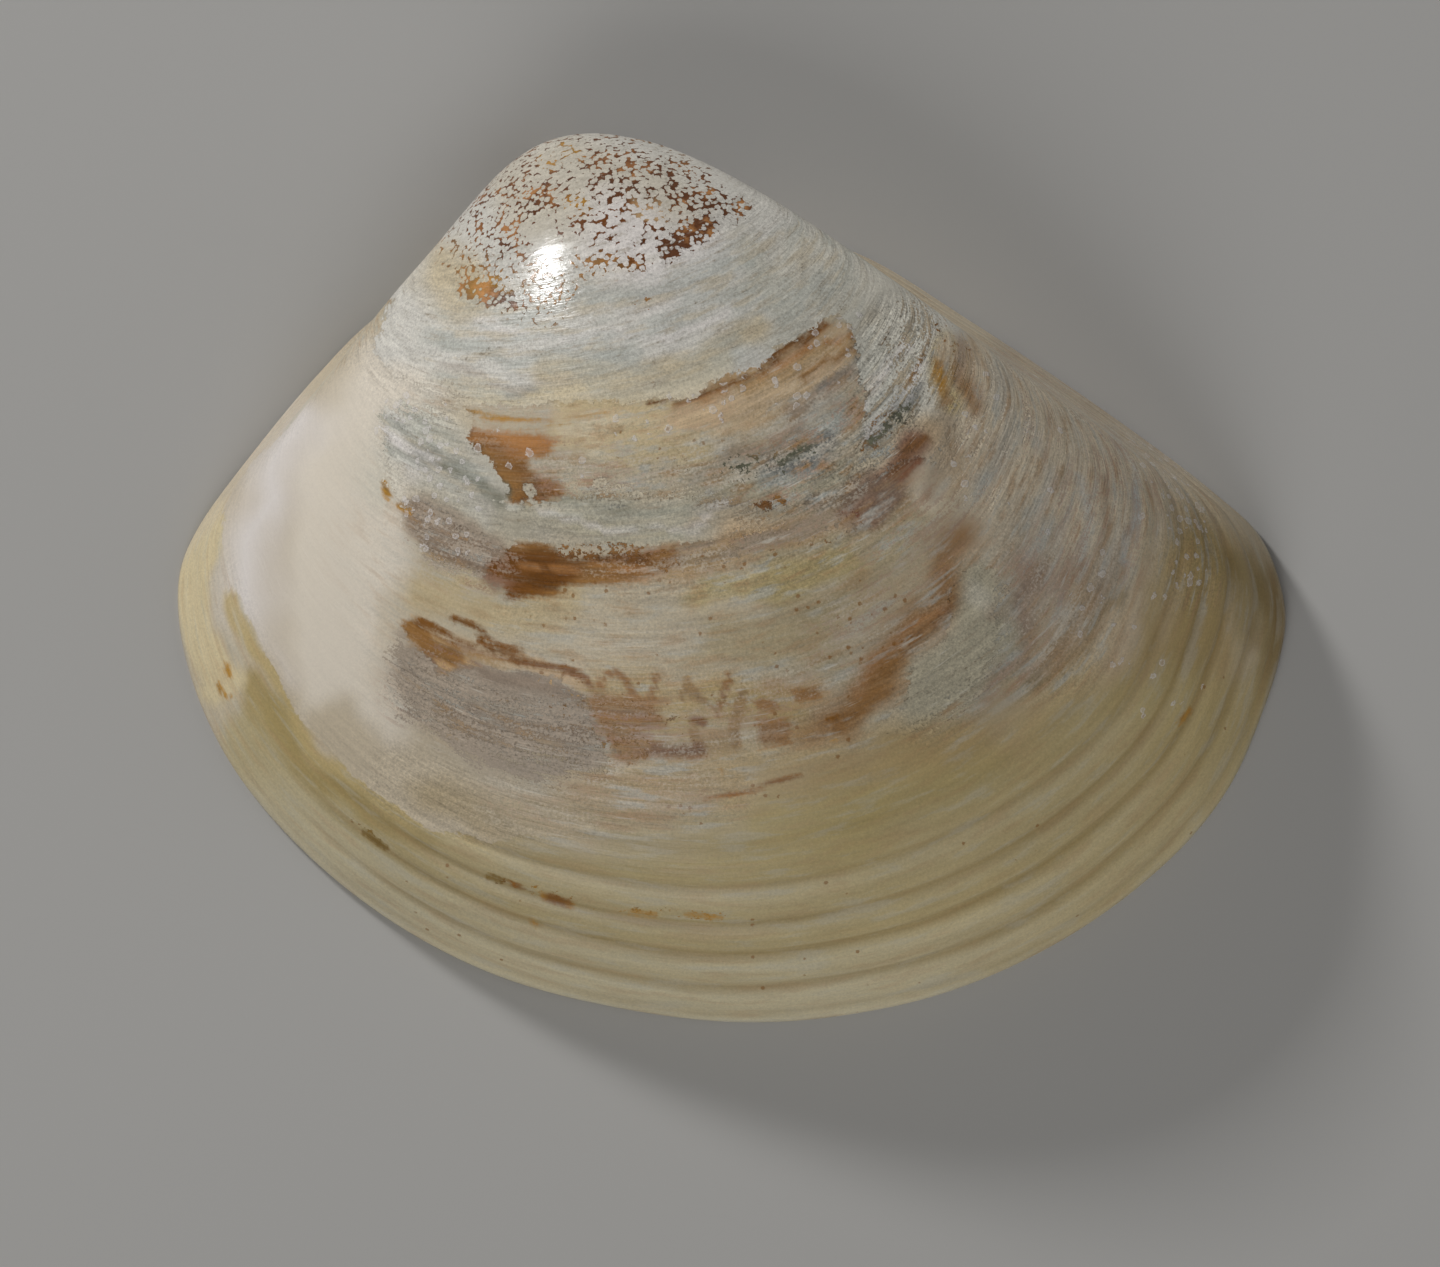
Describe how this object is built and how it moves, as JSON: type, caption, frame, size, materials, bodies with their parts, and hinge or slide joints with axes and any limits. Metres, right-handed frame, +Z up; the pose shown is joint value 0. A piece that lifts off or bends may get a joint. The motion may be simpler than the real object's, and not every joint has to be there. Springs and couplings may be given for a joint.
{
  "type": "hard clam shell valve",
  "caption": "Left valve of a Japanese hard clam: a thick rounded triangular shell, domed outside and hollow below, with a coiled beak, concentric ribs and a toothed hinge plate.",
  "frame": {"origin": "under the middle of the valve's bounding box, on the plane that the rim rests on", "axes": "+X towards the siphon end, +Y towards the beak, +Z up through the dome"},
  "size_m": [0.0705, 0.0565, 0.0188],
  "materials": {
    "shell": "worn shell: chalky and satin, glossier and cream along the margin, porcelain white inside"
  },
  "bodies": {
    "root": {"left_valve": "shell"}
  },
  "joints": []
}
